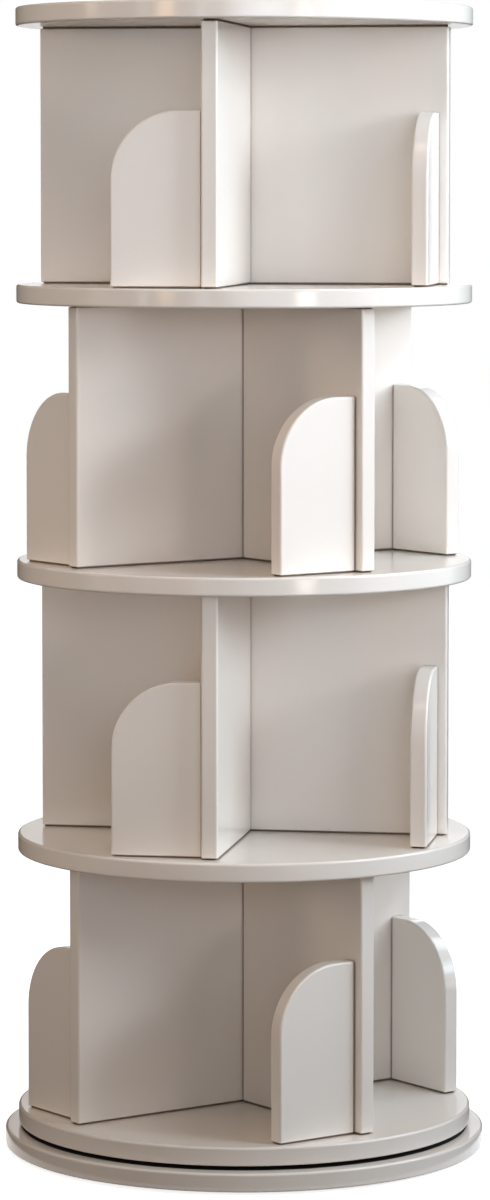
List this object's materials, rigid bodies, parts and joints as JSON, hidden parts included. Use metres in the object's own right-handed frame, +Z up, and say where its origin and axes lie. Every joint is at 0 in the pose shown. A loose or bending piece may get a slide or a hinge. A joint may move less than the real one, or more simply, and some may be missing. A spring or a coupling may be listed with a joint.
{
  "type": "rotating media tower",
  "caption": "Tall round revolving storage tower with open tiers divided by twisted crosses, rounded stops and a low disc base that it turns on.",
  "frame": {"origin": "on the floor at the centre of the base, under the axis of the pivot bolt", "axes": "+Z up along the pivot's axis; the dividers of the second and fourth tiers from the floor lie along X and Y, and those of the first and third at 45 degrees to them"},
  "size_m": [0.4699, 0.47, 1.115],
  "materials": {
    "lacquered_board": "fibreboard with a smooth warm white satin lacquer",
    "rubber": "matt black",
    "nylon": "natural white moulded nylon",
    "steel": "bright zinc plate"
  },
  "bodies": {
    "base": {"base_disc": "lacquered_board", "foot_pads": "rubber", "roller_cups": "nylon", "roller_axles": "steel", "pivot_bush": "nylon"},
    "tower": {"pivot_bolt": "steel", "pivot_washer": "steel", "pivot_nut": "steel", "bottom_disc": "lacquered_board", "shelf_disc_1": "lacquered_board", "shelf_disc_2": "lacquered_board", "shelf_disc_3": "lacquered_board", "top_disc": "lacquered_board", "tier_1_long_divider": "lacquered_board", "tier_1_half_divider_back": "lacquered_board", "tier_1_half_divider_front": "lacquered_board", "tier_1_stop_1": "lacquered_board", "tier_1_stop_2": "lacquered_board", "tier_1_stop_3": "lacquered_board", "tier_1_stop_4": "lacquered_board", "tier_2_long_divider": "lacquered_board", "tier_2_half_divider_back": "lacquered_board", "tier_2_half_divider_front": "lacquered_board", "tier_2_stop_1": "lacquered_board", "tier_2_stop_2": "lacquered_board", "tier_2_stop_3": "lacquered_board", "tier_2_stop_4": "lacquered_board", "tier_3_long_divider": "lacquered_board", "tier_3_half_divider_back": "lacquered_board", "tier_3_half_divider_front": "lacquered_board", "tier_3_stop_1": "lacquered_board", "tier_3_stop_2": "lacquered_board", "tier_3_stop_3": "lacquered_board", "tier_3_stop_4": "lacquered_board", "tier_4_long_divider": "lacquered_board", "tier_4_half_divider_back": "lacquered_board", "tier_4_half_divider_front": "lacquered_board", "tier_4_stop_1": "lacquered_board", "tier_4_stop_2": "lacquered_board", "tier_4_stop_3": "lacquered_board", "tier_4_stop_4": "lacquered_board"},
    "roller_1": {"roller_1": "nylon"},
    "roller_2": {"roller_2": "nylon"},
    "roller_3": {"roller_3": "nylon"},
    "roller_4": {"roller_4": "nylon"}
  },
  "joints": [
    {"name": "tower_turn", "type": "hinge", "parent": "base", "child": "tower", "pos_m": [0, 0, 0.025], "axis": [0, 0, 1], "continuous": true},
    {"name": "roller_1_spin", "type": "hinge", "parent": "base", "child": "roller_1", "pos_m": [0.13081, 0.13081, 0.0167], "axis": [0.7071, 0.7071, 0], "continuous": true},
    {"name": "roller_2_spin", "type": "hinge", "parent": "base", "child": "roller_2", "pos_m": [-0.13081, 0.13081, 0.0167], "axis": [-0.7071, 0.7071, 0], "continuous": true},
    {"name": "roller_3_spin", "type": "hinge", "parent": "base", "child": "roller_3", "pos_m": [-0.13081, -0.13081, 0.0167], "axis": [-0.7071, -0.7071, 0], "continuous": true},
    {"name": "roller_4_spin", "type": "hinge", "parent": "base", "child": "roller_4", "pos_m": [0.13081, -0.13081, 0.0167], "axis": [0.7071, -0.7071, 0], "continuous": true}
  ],
  "couplings": [
    {"joint": "roller_1_spin", "follows": "tower_turn", "ratio": -23.125},
    {"joint": "roller_2_spin", "follows": "tower_turn", "ratio": -23.125},
    {"joint": "roller_3_spin", "follows": "tower_turn", "ratio": -23.125},
    {"joint": "roller_4_spin", "follows": "tower_turn", "ratio": -23.125}
  ]
}
